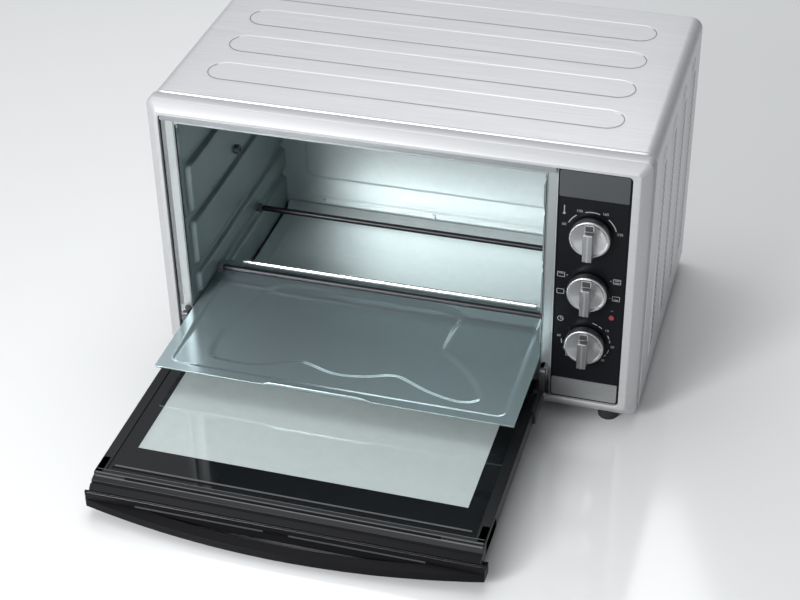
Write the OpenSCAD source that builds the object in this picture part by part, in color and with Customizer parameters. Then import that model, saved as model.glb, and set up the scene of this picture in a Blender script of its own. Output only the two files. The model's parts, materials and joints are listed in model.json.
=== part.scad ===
// Counter-top oven with a drop-down glass door, a crumb tray and three control knobs.
// +X is the right-hand side seen from the front, the front faces -Y, +Z is up.
// The origin is on the ground, in the middle of the oven with its door lying open.
// Pieces are drawn with the lower left corner of the front plane at zero, then moved.

/* [Body] */
// Width of the casing
body_w = 580; // [560:1:700]
// Depth of the casing, front plane to rear panel
body_d = 360; // [345:1:440]
// Height of the casing above its feet
body_h = 342; // [336:1:420]
// Thickness of the outer cover sheet
cover_t = 1.2; // [0.8:0.1:2]
// Radius of the cover's two long top corners
cover_r = 14; // [6:1:24]
// Height of the feet
foot_h = 13; // [10:1:20]
// Diameter of a foot
foot_d = 27; // [20:1:40]

/* [Front bezel] */
// Width of the bright chamfer all round
chamfer_w = 12; // [6:1:16]
// Depth of that chamfer
chamfer_d = 9; // [4:1:12]
// Depth of the bezel, front plane to cover edge
bezel_d = 25; // [18:1:40]
// Wall of the bezel moulding
bezel_t = 2.5; // [1.5:0.1:3]
// Flat lip left of the door
lip_left = 4.5; // [3:0.5:5]
// Flat lip right of the control panel
lip_right = 8.5; // [4:0.5:14]
// Flat lip above and below the openings
lip_tb = 4; // [3:0.5:6]

/* [Cavity] */
// Clear width of the cavity mouth
mouth_w = 432; // [380:1:440]
// Depth of the cavity
cavity_d = 322; // [260:1:330]
// Thickness of the cavity's galvanised sheet
liner_t = 0.9; // [0.6:0.1:1.5]
// How far the stamped runners stand into the cavity
runner_out = 10; // [6:1:14]
// Height of the three rack ledges above the cavity floor
ledges = [88, 161, 238];
// Height of the groove that leaves a rack room under each ledge
rack_groove = 12; // [8:1:16]

/* [Door] */
// Thickness of the door
door_t = 21; // [19:1:23]
// Door length from hinge axis to top edge
door_l = 291; // [270:1:293]
// Width of the clear window
window_w = 381; // [300:1:390]
// Length of the clear window
window_l = 172; // [120:1:180]
// Thickness of the door glass
glass_t = 3.2; // [2:0.1:4]
// Diameter of the hinge pins
hinge_pin_d = 5; // [4:0.5:6]
// How far the handle's bow stands out from its own ends
bow_rise = 20; // [12:1:22]

/* [Crumb tray] */
// Length of the tray, front to back
tray_l = 229; // [180:1:230]
// How far the tray is drawn out in front of the front plane
tray_out = 120; // [100:1:120]
// Depth of the shallow recess that catches crumbs
tray_deep = 4.5; // [3:0.5:4.5]

/* [Controls] */
// Diameter of a knob
knob_d = 46; // [36:1:50]
// Distance between two knobs
knob_pitch = 73; // [60:1:76]
// Width of a knob's grip bar
grip_w = 11; // [8:0.5:14]
// Diameter of a knob shaft
shaft_d = 6; // [5:0.5:8]

/* [Heaters] */
// Diameter of a heater rod
rod_d = 7.5; // [6:0.5:8]
// Distance of the front pair of rods from the front plane
rod_front = 78; // [60:1:110]
// Distance of the rear pair of rods from the front plane
rod_rear = 219; // [180:1:250]

/* [Hidden] */
$fn = 48;

// fits and clearances
gap = 0.3;                         // between pieces that must not touch
run = 0.05;                        // radial clearance of a shaft or pin in its hole
overlap = 14;                      // how far an inner edge is hidden behind an outer one

// front plane layout, measured from the casing's lower left front corner
lip_x0 = chamfer_w + lip_left;
lip_x1 = body_w - chamfer_w - lip_right;
lip_z0 = chamfer_w + lip_tb;
lip_z1 = body_h - chamfer_w - lip_tb;
flange_y = 5.0;                    // front of the sheet that frames the cavity mouth
flange_t = 1.2;
flange_z0 = 36;
mouth_x0 = 34;
mouth_x1 = mouth_x0 + mouth_w;
mouth_z0 = 55;
mouth_z1 = lip_z1 - 11;
strip_w = 11;                      // upright strip between the cavity mouth and the controls
wall_x = mouth_x1 + strip_w;       // partition beside the controls
liner_y0 = flange_y + flange_t;
liner_y1 = cavity_d + 6;
floor_z = 12;
ceiling_z = lip_z1 - 18;
liner_x0 = mouth_x0 + 1;           // recessed plane of the side walls
liner_x1 = mouth_x1 - 1;
sill_y = 12.5;                     // back of the sill that the tray slides over
runner_y = 24;                     // front ends of the stamped runners

// door and hinge
open_gap = 10.5;                      // inner face of the open door above the hinge axis
hinge_y = -6;
hinge_z = 22.5;
door_top_z = hinge_z + open_gap;
door_z0 = door_top_z - door_t;
door_end_y = hinge_y + 5;          // hinge end of the door
door_far_y = hinge_y - door_l;     // top edge of the door
door_cx = 249.5;
door_w = 443;
door_x0 = door_cx - door_w / 2;
door_x1 = door_cx + door_w / 2;
window_y1 = -57;
arm_t = 6;
arm_out = 3;                       // how far an arm stands out beside the door
arm_tip_r = 4;
arm_tip_y = -4;
arm_hub_r = 6;
bracket_t = 5;
notch = 11;                        // door corner cut away for arm and bracket
handle_drop = 13;                  // depth of the handle's end blocks below the door's outer face
bow_tilt = 22;
bow_t = 10;
grip_x0 = door_x0 + 72;            // finger opening behind the bow
grip_x1 = door_x1 - 61;
handle_t = 2.7;

// tray
tray_z = 62;
tray_x0 = mouth_x0 + 2;
tray_x1 = mouth_x1 - 2;
tray_y0 = -tray_out;
tray_y1 = tray_y0 + tray_l;
tray_sheet = 1;
groove_z0 = 56;
groove_z1 = 68;

// heaters
rod_low_z = 72;
rod_high_z = ceiling_z - 16;
rod_x0 = liner_x0 - 14;
rod_x1 = liner_x1 + 9;

// controls
panel_x0 = wall_x + 1.8;
panel_x1 = lip_x1 - 0.7;
panel_y = 4;
panel_t = 3;
panel_z0 = lip_z0 + 1;
panel_z1 = lip_z1 - 1;
knob_x = (panel_x0 + panel_x1) / 2 - 1.5;
knob_z = [for (i = [0:2]) panel_z0 + 83 + i * knob_pitch];
knob_y0 = -20;
knob_skirt_y = -9;
knob_y1 = panel_y - 1;
shaft_r = shaft_d / 2;
bracket_y = 14;
switch_y = bracket_y + 1.4;
lamp_x = panel_x1 - 13.5;
lamp_z = (knob_z[0] + knob_z[1]) / 2 + 2.5;

// overall reach, used to centre the model over its own footprint
gland_out = 10;
reach = -(door_far_y - gap - handle_t - bow_rise);
mid_y = (body_d + gland_out - reach) / 2;

module place() translate([-body_w / 2, -mid_y, foot_h]) children();
module box(a, b) translate(a) cube([b[0] - a[0], b[1] - a[1], b[2] - a[2]]);
// extrudes an outline of [y, z] points along X
module along_x(x0, x1) translate([x0, 0, 0]) rotate([90, 0, 90]) linear_extrude(x1 - x0) children();
// extrudes an outline of [x, z] points along Y
module along_y(y0, y1) translate([0, y1, 0]) rotate([90, 0, 0]) linear_extrude(y1 - y0) children();
module rod_x(x0, x1, y, z, r) translate([x0, y, z]) rotate([0, 90, 0]) cylinder(h = x1 - x0, r = r);
module rod_y(y0, y1, x, z, r) translate([x, y1, z]) rotate([90, 0, 0]) cylinder(h = y1 - y0, r = r);
module round_rect(x0, z0, x1, z1, r) {
    translate([x0 + r, z0]) square([x1 - x0 - 2 * r, z1 - z0]);
    translate([x0, z0 + r]) square([x1 - x0, z1 - z0 - 2 * r]);
    for (x = [x0 + r, x1 - r], z = [z0 + r, z1 - r]) translate([x, z]) circle(r);
}
module screw_y(x, y, z, dir = 1) {
    rod_y(min(y, y + dir * 2), max(y, y + dir * 2), x, z, 3.4);
    rod_y(min(y, y - dir * 7), max(y, y - dir * 7), x, z, 1.7);
}
module screw_z(x, y, z) {
    translate([x, y, z - 2]) cylinder(h = 2, r = 3.4);
    translate([x, y, z]) cylinder(h = 6, r = 1.7);
}

// ---- casing ----
cover_rib_w = 42;
cover_rib_pitch = (body_d - bezel_d - 51) / 4;
cover_rib_y = [for (i = [0:3]) bezel_d + 65 + i * cover_rib_pitch];
cover_rib_x0 = 45;
cover_rib_x1 = body_w - 47;
side_rib_w = 22;
side_rib_z0 = 40;
side_rib_z1 = body_h - 36;
emboss = 1.6;
vent_pitch = 18;

pan_x0 = bezel_t + 6;
pan_y0 = chamfer_d + 1.5;
pan_z0 = bezel_t + 0.3;
module base_pan() color("gainsboro") place() difference() {
    union() {
        box([pan_x0, pan_y0, pan_z0], [body_w - pan_x0, body_d - 3, pan_z0 + 1.2]);
        box([pan_x0, pan_y0, pan_z0], [body_w - pan_x0, pan_y0 + 1.2, hinge_z + 9]);
        for (x = [pan_x0, body_w - pan_x0 - 1.2]) box([x, pan_y0, pan_z0], [x + 1.2, body_d - 3, 20]);
    }
    for (x = [door_x0 - arm_out, door_x1 + arm_out - arm_t])
        box([x - 2, pan_y0 - 1, 5], [x + arm_t + 2, pan_y0 + 2, hinge_z + 10]);
    for (p = foot_places()) translate([p[0], p[1], 0]) cylinder(h = 10, r = 1.75);
    for (i = [0:8]) box([90 + i * 40, 120, 0], [94 + i * 40, 200, 10]);
}

module cover_outline(g) {
    r = cover_r - g;
    translate([g, -1]) square([body_w - 2 * g, body_h - cover_r + 1]);
    translate([cover_r, 0]) square([body_w - 2 * cover_r, body_h - g]);
    for (x = [cover_r, body_w - cover_r]) translate([x, body_h - cover_r]) circle(r);
}
module outer_cover() color("silver") place() difference() {
    union() {
        along_y(bezel_d, body_d - 1) difference() {
            cover_outline(0);
            cover_outline(cover_t);
            translate([-1, -5]) square([body_w + 2, 7]);
        }
        for (y = cover_rib_y) translate([0, 0, body_h - 0.4]) linear_extrude(emboss + 0.4)
            capsule_x(cover_rib_x0, cover_rib_x1, y, cover_rib_w);
        for (y = cover_rib_y, x = [-emboss, body_w - 0.4])
            translate([x, 0, 0]) rotate([90, 0, 90]) linear_extrude(emboss + 0.4) side_rib(y);
    }
    for (y = cover_rib_y, z = [side_rib_z0 + 4 : vent_pitch : side_rib_z1 - 4], x = [-4, body_w - 4])
        box([x, y - 6, z - 1.5], [x + 8, y + 6, z + 1.5]);
    for (x = cover_screw_x(), z = [30, body_h - 30])
        rod_y(body_d - 12, body_d, x, z, 1.75);
}
module capsule_x(x0, x1, y, w) {
    translate([x0 + w / 2, y - w / 2]) square([x1 - x0 - w, w]);
    for (x = [x0 + w / 2, x1 - w / 2]) translate([x, y]) circle(w / 2);
}
module side_rib(y) {
    translate([y - side_rib_w / 2, side_rib_z0]) square([side_rib_w, side_rib_z1 - side_rib_z0]);
    for (z = [side_rib_z0, side_rib_z1]) translate([y, z]) circle(side_rib_w / 2);
}
function cover_screw_x() = [12, body_w - 12];

module rear_panel() color("gainsboro") place() difference() {
    union() {
        along_y(body_d - 1, body_d) difference() {
            cover_outline(0);
            translate([-1, -5]) square([body_w + 2, 7]);
        }
        along_y(body_d - 14, body_d - 1) difference() {
            cover_outline(cover_t + gap);
            cover_outline(cover_t + gap + 1);
            translate([-1, -5]) square([body_w + 2, 27]);
        }
    }
    for (i = [0:12], z = [70, 250]) box([120 + i * 24, body_d - 2, z], [126 + i * 24, body_d + 1, z + 44]);
    rod_y(body_d - 2, body_d + 1, gland_x, gland_z, gland_r);
    for (x = cover_screw_x(), z = [30, body_h - 30])
        rod_y(body_d - 15, body_d + 1, x, z, 1.75);
}

// chamfered block: three outlines meet, so its mitres are exact
module bezel_block(g) intersection() {
    along_x(g, body_w - g) polygon([[g, chamfer_w], [chamfer_d + g * 0.4, g], [bezel_d, g], [bezel_d, body_h - g],
        [chamfer_d + g * 0.4, body_h - g], [g, body_h - chamfer_w]]);
    linear_extrude(body_h) polygon([[chamfer_w, g], [g, chamfer_d + g * 0.4], [g, bezel_d], [body_w - g, bezel_d],
        [body_w - g, chamfer_d + g * 0.4], [body_w - chamfer_w, g]]);
    along_y(0, bezel_d) round_rect(g, g, body_w - g, body_h - g, 6);
}
module front_bezel() color("lightgray") place() difference() {
    bezel_block(0);
    intersection() {
        bezel_block(bezel_t);
        box([0, bezel_t + 0.5, 0], [body_w, bezel_d + 1, body_h]);
    }
    along_y(bezel_d - 3, bezel_d + 1) round_rect(bezel_t, bezel_t, body_w - bezel_t, body_h - bezel_t, 4);
    along_y(-1, bezel_t + 1) round_rect(lip_x0, lip_z0, lip_x1, lip_z1, 5);
    for (p = foot_places()) translate([p[0], p[1], -1]) cylinder(h = bezel_t + 2, r = 1.75);
}

// ---- cavity ----
module cavity_front() color("lightgray") place() along_y(flange_y, flange_y + flange_t) difference() {
    translate([lip_x0 + 1.2, flange_z0]) square([wall_x - lip_x0 - 1.4, lip_z1 - flange_z0 - 1]);
    round_rect(mouth_x0, mouth_z0, mouth_x1, mouth_z1, 4);
    for (x = [door_x0 - arm_out + arm_t / 2, door_x1 + arm_out - arm_t / 2]) {
        translate([x - arm_t / 2 - 1.5, 0]) square([arm_t + 3, arm_z1 + 2]);
        translate([x, arm_z1 + 2]) circle(arm_t / 2 + 1.5);
    }
}
// heights of the raised bands of a side wall, bottom to top
bands = [[floor_z, groove_z0], for (i = [0:2])
    [i == 0 ? groove_z1 + 2 : floor_z + ledges[i - 1] + rack_groove, floor_z + ledges[i]]];
module wall_outline() {
    for (b = bands) {
        translate([runner_out - liner_t, b[0]]) square([liner_t, b[1] - b[0]]);
        if (b[0] > floor_z) translate([-liner_t, b[0]]) square([runner_out + liner_t, liner_t]);
        translate([-liner_t, b[1] - liner_t]) square([runner_out + liner_t, liner_t]);
    }
    for (i = [0 : len(bands) - 1]) {
        top = i + 1 < len(bands) ? bands[i + 1][0] + liner_t : ceiling_z;
        translate([-liner_t, bands[i][1] - liner_t]) square([liner_t, top - bands[i][1] + liner_t]);
    }
}
module side_wall_sheet() {
    along_y(runner_y, liner_y1) wall_outline();
    box([-liner_t, liner_y0, flange_z0], [0, runner_y + liner_t, ceiling_z]);
    box([-liner_t, sill_y, floor_z], [0, runner_y + liner_t, flange_z0]);
    for (b = bands) box([-liner_t, runner_y, b[0]], [runner_out, runner_y + liner_t, b[1]]);
}
module heater_holes() for (y = [rod_front, rod_rear], z = [rod_low_z, rod_high_z])
    rod_x(-20, 20, y, z, rod_d / 2 + 2.1);
module cavity_left() color("slategray") place() translate([liner_x0, 0, 0]) difference() {
    side_wall_sheet();
    heater_holes();
    rod_x(-20, 20, spit_y, spit_z, 6);
}
module cavity_right() color("slategray") place() translate([liner_x1, 0, 0]) mirror([1, 0, 0]) difference() {
    side_wall_sheet();
    heater_holes();
    rod_x(-20, 20, spit_y, spit_z, 8);
}
pad_x0 = mouth_x0 + 34;
pad_x1 = mouth_x1 - 34;
module cavity_back() color("slategray") place() {
    box([mouth_x0 - 4, liner_y1, floor_z - 1], [mouth_x1 + 4, liner_y1 + liner_t, ceiling_z + 1]);
    along_y(liner_y1 - 1.5, liner_y1) round_rect(pad_x0, floor_z + 46, pad_x1, ceiling_z - 24, 14);
    for (x = [mouth_x0 + 58, (mouth_x0 + mouth_x1) / 2, mouth_x1 - 58])
        box([x - 3, liner_y1 - 3, floor_z + 8], [x + 3, liner_y1, floor_z + 17]);
}
module cavity_floor() color("slategray") place() {
    box([liner_x0 + runner_out, sill_y, floor_z - liner_t], [liner_x1 - runner_out, liner_y1, floor_z]);
    box([liner_x0 + runner_out, sill_y, floor_z - liner_t], [liner_x1 - runner_out, sill_y + liner_t, mouth_z0]);
    box([mouth_x0 + 1, liner_y0, mouth_z0 - liner_t], [mouth_x1 - 1, sill_y + liner_t, mouth_z0]);
    box([pad_x0 - 4, 60, floor_z], [pad_x1 + 4, liner_y1 - 34, floor_z + 1.5]);
    along_x(liner_x0 + runner_out, liner_x1 - runner_out) polygon([[liner_y1 - 12, floor_z],
        [liner_y1 - 4, floor_z + 7], [liner_y1 - 4, floor_z + 7.9], [liner_y1 - 13.5, floor_z]]);
}
module cavity_top() color("slategray") place()
    box([mouth_x0 - 4, liner_y0, ceiling_z], [mouth_x1 + 4, liner_y1, ceiling_z + liner_t]);
module partition() color("gainsboro") place() difference() {
    box([wall_x, flange_y, lip_z0 + 0.5], [wall_x + 1.2, body_d - 20, lip_z1 + 5]);
    rod_x(wall_x - 5, wall_x + 5, spit_y, spit_z, 8);
    box([wall_x - 1, pan_y0 - 1, 0], [wall_x + 3, pan_y0 + 2, hinge_z + 10]);
    for (y = [rod_front, rod_rear], z = [rod_low_z, rod_high_z]) rod_x(wall_x - 5, wall_x + 5, y, z, rod_d / 2 + 2.1);
}

module lower_heaters() color("dimgray") place() for (y = [rod_front, rod_rear]) heater_rod(y, rod_low_z);
module upper_heaters() color("dimgray") place() for (y = [rod_front, rod_rear]) heater_rod(y, rod_high_z);
module heater_rod(y, z) {
    rod_x(rod_x0, rod_x1, y, z, rod_d / 2);
    for (x = [rod_x0 - 8, rod_x1]) rod_x(x, x + 8, y, z, 1.6);
}
module heater_bushes() color("ivory") place()
    for (y = [rod_front, rod_rear], z = [rod_low_z, rod_high_z]) {
        face = z < ceiling_z / 2 ? runner_out : 0;
        for (s = [0, 1]) translate([s == 0 ? liner_x0 + face : liner_x1 - face, 0, 0]) mirror([s, 0, 0]) difference() {
            union() {
                rod_x(gap, 2.5, y, z, rod_d / 2 + 2.8);
                rod_x(-6, gap, y, z, rod_d / 2 + 1.8);
            }
            rod_x(-7, 4, y, z, rod_d / 2 + run);
        }
    }
spit_y = 158;
spit_z = floor_z + 183;
module spit_bracket() color("dimgray") place() difference() {
    rod_x(liner_x0 - liner_t - 7, liner_x0 + runner_out + 3, spit_y, spit_z, 5.8);
    box([liner_x0 - 2, spit_y - 3.2, spit_z - 3.2], [liner_x0 + runner_out + 4, spit_y + 3.2, spit_z + 3.2]);
}
module spit_motor() color("dimgray") place() {
    difference() {
        box([wall_x + 1.2, spit_y - 22, spit_z - 24], [wall_x + 27, spit_y + 22, spit_z + 24]);
        rod_x(wall_x, wall_x + 18, spit_y, spit_z, shaft_r + run);
    }
    box([wall_x + 27, spit_y - 6, spit_z - 20], [wall_x + 35, spit_y + 6, spit_z - 8]);
}
module spit_coupling() color("dimgray") place() difference() {
    union() {
        rod_x(liner_x1 - runner_out - 3, wall_x + 0.9, spit_y, spit_z, 7.2);
        rod_x(wall_x, wall_x + 17.5, spit_y, spit_z, shaft_r);
    }
    box([liner_x1 - runner_out - 4, spit_y - 3.2, spit_z - 3.2], [liner_x1 + 4, spit_y + 3.2, spit_z + 3.2]);
}

// ---- controls ----
module control_panel() color("black") place() difference() {
    along_y(panel_y, panel_y + panel_t) round_rect(panel_x0, panel_z0, panel_x1, panel_z1, 4);
    for (z = knob_z) rod_y(0, 10, knob_x, z, shaft_r + 1);
    rod_y(0, 10, lamp_x, lamp_z, 3 + run);
}
module panel_trim() color("silver") place() {
    along_y(panel_y - 0.8, panel_y) round_rect(panel_x0, knob_z[2] + 44.5, panel_x1, panel_z1, 4);
    along_y(panel_y - 0.8, panel_y) round_rect(panel_x0, panel_z0, panel_x1, knob_z[0] - 56, 4);
}
module control_bracket() color("gainsboro") place() difference() {
    union() {
        box([panel_x0 + 4, bracket_y, knob_z[0] - 34], [panel_x1, bracket_y + 1.2, knob_z[2] + 34]);
        for (x = [panel_x0 + 4, panel_x1 - 1.2]) for (z = [knob_z[0] - 34, knob_z[2] + 14])
            box([x, panel_y + panel_t, z], [x + 1.2, bracket_y + 1.2, z + 20]);
    }
    for (z = knob_z) rod_y(10, 20, knob_x, z, shaft_r + 2.6);
    rod_y(10, 20, lamp_x, lamp_z, 4.6);
}
module dial_unit(z, w, h, deep) difference() {
    union() {
        box([knob_x - w / 2, switch_y, z - h / 2], [knob_x + w / 2, switch_y + deep, z + h / 2]);
        rod_y(bracket_y - 5, switch_y, knob_x, z, shaft_r + 2.4);
        for (x = [-w / 3, w / 3]) box([knob_x + x - 2.4, switch_y + deep, z - 4], [knob_x + x + 2.4, switch_y + deep + 8, z - 3]);
    }
    rod_y(bracket_y - 6, switch_y + 12, knob_x, z, shaft_r + run);
}
module thermostat() color("ivory") place() dial_unit(knob_z[2], 36, 32, 24);
module function_switch() color("dimgray") place() dial_unit(knob_z[1], 40, 34, 30);
module timer() color("silver") place() {
    dial_unit(knob_z[0], 48, 42, 26);
    rod_y(switch_y + 26, switch_y + 36, knob_x, knob_z[0] + 6, 13);
}
module knob(z) difference() {
    union() {
        rod_y(knob_skirt_y, knob_y1, knob_x, z, knob_d / 2);
        intersection() {
            box([knob_x - grip_w / 2, knob_y0, z - knob_d], [knob_x + grip_w / 2, knob_skirt_y, z + knob_d]);
            rod_y(knob_y0, knob_skirt_y, knob_x, z, knob_d / 2);
        }
    }
    rod_y(knob_skirt_y + 2, knob_y1 + 1, knob_x, z, shaft_r);
    box([knob_x - 2, knob_y0 - 1, z + knob_d / 2 - 9], [knob_x + 2, knob_y0 + 1.2, z + knob_d / 2 - 1.5]);
}
module knob_shaft(z) rod_y(knob_skirt_y + 2, switch_y + 11, knob_x, z, shaft_r);
module temperature_knob() color("silver") place() knob(knob_z[2]);
module function_knob() color("silver") place() knob(knob_z[1]);
module timer_knob() color("silver") place() knob(knob_z[0]);
module temperature_shaft() color("gold") place() knob_shaft(knob_z[2]);
module function_shaft() color("gold") place() knob_shaft(knob_z[1]);
module timer_shaft() color("gold") place() knob_shaft(knob_z[0]);
module indicator_lens() color("red") place() {
    rod_y(panel_y - 1.4, panel_y + panel_t, lamp_x, lamp_z, 3);
    rod_y(panel_y + panel_t, panel_y + panel_t + 2, lamp_x, lamp_z, 4.2);
}
module indicator_lamp() color("orange") place()
    rod_y(panel_y + panel_t + 2, bracket_y + 16, lamp_x, lamp_z, 3.6);

// ---- crumb tray ----
tray_rim = 14;
tray_back = 12;
recess_y0 = tray_y0 + 42;
grip_lip = 4;
grip_lip_w = 122;
grip_lip_x = (tray_x0 + tray_x1) / 2 - 16;
module crumb_tray() color("lightslategray") place() difference() {
    union() {
        box([tray_x0, tray_y0, tray_z - tray_sheet], [tray_x1, tray_y1, tray_z]);
        box([tray_x0 + tray_rim - 1, recess_y0 - 1, tray_z - tray_deep - tray_sheet],
            [tray_x1 - tray_rim + 1, tray_y1 - tray_back + 1, tray_z - tray_sheet]);
        box([tray_x0, tray_y0, tray_z - 1.8], [tray_x1, tray_y0 + 4, tray_z]);
        box([tray_x0 + 24, tray_y1 - 1, tray_z - tray_sheet], [tray_x1 - 24, tray_y1, tray_z + 4]);
        for (x = [tray_x0, tray_x1 - 1]) box([x, tray_y0 + 90, groove_z0 + gap], [x + 1, tray_y1, tray_z]);
        box([grip_lip_x - grip_lip_w / 2, tray_y0, tray_z - 1.8], [grip_lip_x + grip_lip_w / 2, tray_y0 + 1.2,
            tray_z + grip_lip]);
    }
    box([tray_x0 + tray_rim, recess_y0, tray_z - tray_deep], [tray_x1 - tray_rim, tray_y1 - tray_back, tray_z + 1]);
}

// ---- door ----
module door_frame() color([0.07, 0.07, 0.08]) place() difference() {
    along_x(door_x0, door_x1) polygon([[door_end_y, door_z0], [door_end_y, door_top_z], [door_far_y + 18, door_top_z],
        [door_far_y + 16, door_top_z - 3], [door_far_y + 6, door_top_z - 5], [door_far_y, door_z0 + 8],
        [door_far_y, door_z0]]);
    box([door_cx - window_w / 2, window_y1 - window_l, 0], [door_cx + window_w / 2, window_y1, 60]);
    box([glass_x0 - gap, glass_y0 - gap, door_top_z - 1.2 - glass_t], [glass_x1 + gap, glass_y1 + gap, 60]);
    for (x = [door_x0 - 1, door_x1 + 1 - notch - 1]) {
        box([x, door_end_y - 23, 0], [x + notch + 1, 10, 60]);
    }
    for (x = [door_x0 - 1, door_x1 - (arm_t - arm_out)])
        box([x, door_end_y - 52, 0], [x + 1 + arm_t - arm_out, 10, 60]);
    for (x = clip_x) {
        box([x - 13, glass_y1 - 6, door_top_z - 1.2], [x + 13, door_end_y - 13, 60]);
        translate([x, clip_screw_y, door_top_z - 9]) cylinder(h = 20, r = 1.5);
    }
    for (x = handle_screw_x) translate([x, handle_screw_y, 0]) cylinder(h = door_z0 + 9, r = 1.7);
}
glass_x0 = door_x0 + 12;
glass_x1 = door_x1 - 12;
glass_y0 = door_far_y + 23;
glass_y1 = door_end_y - 26;
module door_glass() color([0.8, 0.9, 0.9, 0.35]) place()
    box([glass_x0, glass_y0, door_top_z - 1.2 - glass_t], [glass_x1, glass_y1, door_top_z - 1.2]);
clip_x = [door_cx - 120, door_cx + 120];
clip_screw_y = door_end_y - 19;
module glass_clips() color("dimgray") place() for (x = clip_x) difference() {
    box([x - 12, glass_y1 - 5, door_top_z - 1.2], [x + 12, door_end_y - 14, door_top_z - 0.4]);
    translate([x, clip_screw_y, door_top_z - 3]) cylinder(h = 4, r = 1.6);
}
module glass_screws() color("silver") place() for (x = clip_x) {
    translate([x, clip_screw_y, door_top_z - 0.4]) cylinder(h = 0.4, r = 2.6);
    translate([x, clip_screw_y, door_top_z - 8]) cylinder(h = 7.7, r = 1.5);
}

handle_y = door_far_y - gap;
handle_x0 = door_x0 - 4;
handle_x1 = door_x1 + 5;
function bow(x0, x1, y, rise) = [for (i = [0:24]) [x0 + (x1 - x0) * i / 24, y - rise * (1 - pow(i / 12 - 1, 2))]];
module door_handle() color([0.06, 0.06, 0.07]) place() {
    yb = handle_y - handle_t;
    z0 = door_z0 - handle_drop;
    drop = 24 * tan(bow_tilt);
    difference() {
        union() {
            box([handle_x0, yb, z0], [handle_x1, handle_y, door_z0 + 8]);
            for (x = [[handle_x0, grip_x0], [grip_x1, handle_x1]])
                box([x[0], yb, z0], [x[1], handle_y + 14, door_z0 - gap]);
            intersection() {
                along_x(handle_x0, handle_x1) polygon([[yb + 1, z0], [yb + 1, z0 + bow_t], [yb, z0 + bow_t],
                    [yb - 24, z0 + bow_t - drop], [yb - 24, z0 - drop], [yb, z0]]);
                translate([0, 0, -50]) linear_extrude(100) polygon(concat(
                    bow(handle_x0, handle_x1, yb - 0.5, bow_rise - 0.5), [[handle_x1, yb + 1], [grip_x1, yb + 1]],
                    [for (i = [24:-1:0]) bow(grip_x0, grip_x1, yb - 1, bow_rise * 0.48)[i]],
                    [[grip_x0, yb + 1], [handle_x0, yb + 1]]));
            }
        }
        for (x = handle_screw_x) translate([x, handle_screw_y, -20]) cylinder(h = 50, r = 1.8);
    }
}
handle_screw_y = handle_y + 8;
handle_screw_x = [door_x0 + 26, door_x1 - 26];
module handle_screws() color("silver") place() for (x = handle_screw_x)
    {
        translate([x, handle_screw_y, door_z0 - handle_drop - 1.2]) cylinder(h = 1.2, r = 3.2);
        translate([x, handle_screw_y, door_z0 - handle_drop - 0.5]) cylinder(h = handle_drop + 9, r = 1.6);
    }

arm_z1 = 54;
module hinge_arm(x) difference() {
    union() {
        rod_x(x, x + arm_t, hinge_y, hinge_z, arm_hub_r);
        rod_x(x, x + arm_t, arm_tip_y, arm_z1, arm_tip_r);
        along_x(x, x + arm_t) polygon([[hinge_y - arm_hub_r, hinge_z], [hinge_y + arm_hub_r, hinge_z],
            [arm_tip_y + arm_tip_r, arm_z1], [arm_tip_y - arm_tip_r, arm_z1]]);
        along_x(x, x + arm_t) polygon([[hinge_y, hinge_z - arm_hub_r], [hinge_y, hinge_z + arm_hub_r],
            [door_end_y - 52, hinge_z + 7.5], [door_end_y - 52, hinge_z - 8]]);
    }
    rod_x(x - 1, x + arm_t + 1, hinge_y, hinge_z, hinge_pin_d / 2 + run);
}
module hinge_arm_left() color([0.1, 0.1, 0.1]) place() hinge_arm(door_x0 - arm_out);
module hinge_arm_right() color([0.1, 0.1, 0.1]) place() hinge_arm(door_x1 + arm_out - arm_t);
module hinge_bracket(x, side) {
    difference() {
        union() {
            rod_x(x, x + bracket_t, hinge_y, hinge_z, 6);
            box([x, hinge_y, lip_z0 + gap], [x + bracket_t, pan_y0, hinge_z + 6]);
        }
        rod_x(x - 1, x + bracket_t + 1, hinge_y, hinge_z, hinge_pin_d / 2);
    }
    box([side > 0 ? x : x - 8, pan_y0 - 1.8, lip_z0 + gap],
        [side > 0 ? x + bracket_t + 8 : x + bracket_t, pan_y0, hinge_z + 6]);
}
bracket_left_x = door_x0 - arm_out + arm_t + 0.7;
bracket_right_x = door_x1 + arm_out - arm_t - 0.7 - bracket_t;
module hinge_bracket_left() color("dimgray") place() hinge_bracket(bracket_left_x, 1);
module hinge_bracket_right() color("dimgray") place() hinge_bracket(bracket_right_x, -1);
module hinge_pins() color("silver") place() {
    rod_x(door_x0 - arm_out - 1, bracket_left_x + bracket_t, hinge_y, hinge_z, hinge_pin_d / 2);
    rod_x(bracket_right_x, door_x1 + arm_out + 1, hinge_y, hinge_z, hinge_pin_d / 2);
}

// ---- feet, fasteners, supply ----
foot_in = 34;
foot_front_y = 22;
function foot_places() = [[foot_in, foot_front_y], [body_w - foot_in, foot_front_y],
    [foot_in, body_d - 38], [body_w - foot_in, body_d - 38]];
module foot(p) translate([p[0], p[1], 0]) difference() {
    union() {
        translate([0, 0, -foot_h]) cylinder(h = foot_h - gap, r1 = foot_d / 2 - 1.5, r2 = foot_d / 2, $fn = 48);
    }
    translate([0, 0, -foot_h - 1]) cylinder(h = foot_h - 4, r = 4.5);
    translate([0, 0, -foot_h]) cylinder(h = foot_h + 1, r = 1.75 + run);
}
module foot_front_left() color([0.08, 0.08, 0.08]) place() foot(foot_places()[0]);
module foot_front_right() color([0.08, 0.08, 0.08]) place() foot(foot_places()[1]);
module foot_rear_left() color([0.08, 0.08, 0.08]) place() foot(foot_places()[2]);
module foot_rear_right() color([0.08, 0.08, 0.08]) place() foot(foot_places()[3]);
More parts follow.
